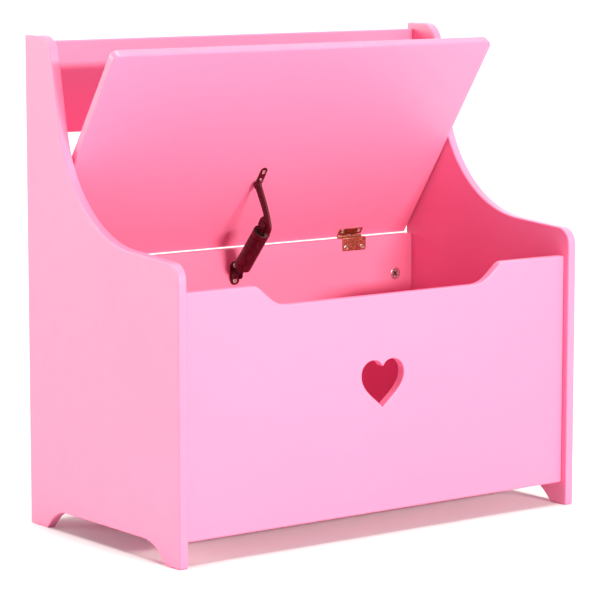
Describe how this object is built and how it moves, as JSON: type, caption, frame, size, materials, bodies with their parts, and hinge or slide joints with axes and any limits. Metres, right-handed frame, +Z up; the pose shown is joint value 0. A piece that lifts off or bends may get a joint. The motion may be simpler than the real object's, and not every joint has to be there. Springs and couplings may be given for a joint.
{
  "type": "toy box",
  "caption": "Painted wooden toy box with a bench back, a hinged lid held by a sprung stay, a dipped front edge and a heart cut-out.",
  "frame": {"origin": "on the floor, in the middle of the footprint", "axes": "+X to the box's own right seen from the front, +Y towards the back, +Z up"},
  "size_m": [0.6, 0.3287, 0.594],
  "materials": {
    "pink_paint": "satin pink paint on MDF board",
    "antique_brass": "antique brass plate",
    "stay_paint": "semi-gloss very dark maroon paint",
    "zinc": "die-cast zinc and zinc plate",
    "steel": "oiled, blackened spring steel",
    "beech": "raw beech dowel"
  },
  "bodies": {
    "cabinet": {"left_side_panel": "pink_paint", "right_side_panel": "pink_paint", "front_panel": "pink_paint", "back_panel": "pink_paint", "backrest_rail": "pink_paint", "bottom_panel": "pink_paint", "cam_lock_back_upper_left": "zinc", "cam_lock_back_upper_right": "zinc", "cam_lock_back_lower_left": "zinc", "cam_lock_back_lower_right": "zinc", "cam_lock_front_upper_left": "zinc", "cam_lock_front_upper_right": "zinc", "cam_lock_front_lower_left": "zinc", "cam_lock_front_lower_right": "zinc", "cam_lock_rail_left": "zinc", "cam_lock_rail_right": "zinc", "cam_bolt_back_upper_left": "zinc", "cam_bolt_back_upper_right": "zinc", "cam_bolt_back_lower_left": "zinc", "cam_bolt_back_lower_right": "zinc", "cam_bolt_front_upper_left": "zinc", "cam_bolt_front_upper_right": "zinc", "cam_bolt_front_lower_left": "zinc", "cam_bolt_front_lower_right": "zinc", "cam_bolt_rail_left": "zinc", "cam_bolt_rail_right": "zinc", "bottom_dowel_front_left": "beech", "bottom_dowel_front_right": "beech", "bottom_dowel_back_left": "beech", "bottom_dowel_back_right": "beech", "hinge_left_body_leaf": "antique_brass", "hinge_left_pin": "antique_brass", "hinge_left_body_screw_1": "zinc", "hinge_left_body_screw_2": "zinc", "hinge_right_body_leaf": "antique_brass", "hinge_right_pin": "antique_brass", "hinge_right_body_screw_1": "zinc", "hinge_right_body_screw_2": "zinc", "stay_wall_foot": "stay_paint", "stay_base_rivet": "stay_paint", "stay_wall_screw_1": "zinc", "stay_wall_screw_2": "zinc"},
    "lid": {"lid": "pink_paint", "hinge_left_lid_leaf": "antique_brass", "hinge_left_lid_screw_1": "zinc", "hinge_left_lid_screw_2": "zinc", "hinge_right_lid_leaf": "antique_brass", "hinge_right_lid_screw_1": "zinc", "hinge_right_lid_screw_2": "zinc", "stay_lid_foot": "stay_paint", "stay_lid_rivet": "stay_paint", "stay_lid_screw_1": "zinc", "stay_lid_screw_2": "zinc"},
    "stay_leg": {"stay_strap": "stay_paint", "stay_tube": "stay_paint", "stay_spring": "steel", "stay_knee_rivet": "stay_paint"},
    "stay_arm": {"stay_arm": "stay_paint"},
    "stay_follower": {"stay_follower": "steel"}
  },
  "joints": [
    {"name": "lid_hinge", "type": "hinge", "parent": "cabinet", "child": "lid", "pos_m": [0, 0.157, 0.3178], "axis": [-1, 0, 0], "range_deg": [-56.6, 25]},
    {"name": "stay_base_pivot", "type": "hinge", "parent": "cabinet", "child": "stay_leg", "pos_m": [-0.004, 0.138, 0.283], "axis": [-1, 0, 0], "range_deg": [-64, 28.5]},
    {"name": "stay_knee_pivot", "type": "hinge", "parent": "stay_leg", "child": "stay_arm", "pos_m": [-0.004, 0.079, 0.351], "axis": [1, 0, 0], "range_deg": [-51.5, 23]},
    {"name": "stay_follower_slide", "type": "slide", "parent": "stay_leg", "child": "stay_follower", "axis": [0, 0.6553, -0.7553], "range_m": [-0.001, 0.0023], "deforming": ["stay_spring"]}
  ],
  "couplings": [
    {"joint": "stay_base_pivot", "follows": "lid_hinge", "ratio": 1.12},
    {"joint": "stay_knee_pivot", "follows": "lid_hinge", "ratio": 0.9},
    {"joint": "stay_follower_slide", "follows": "lid_hinge", "m_per_rad": -0.002217}
  ]
}
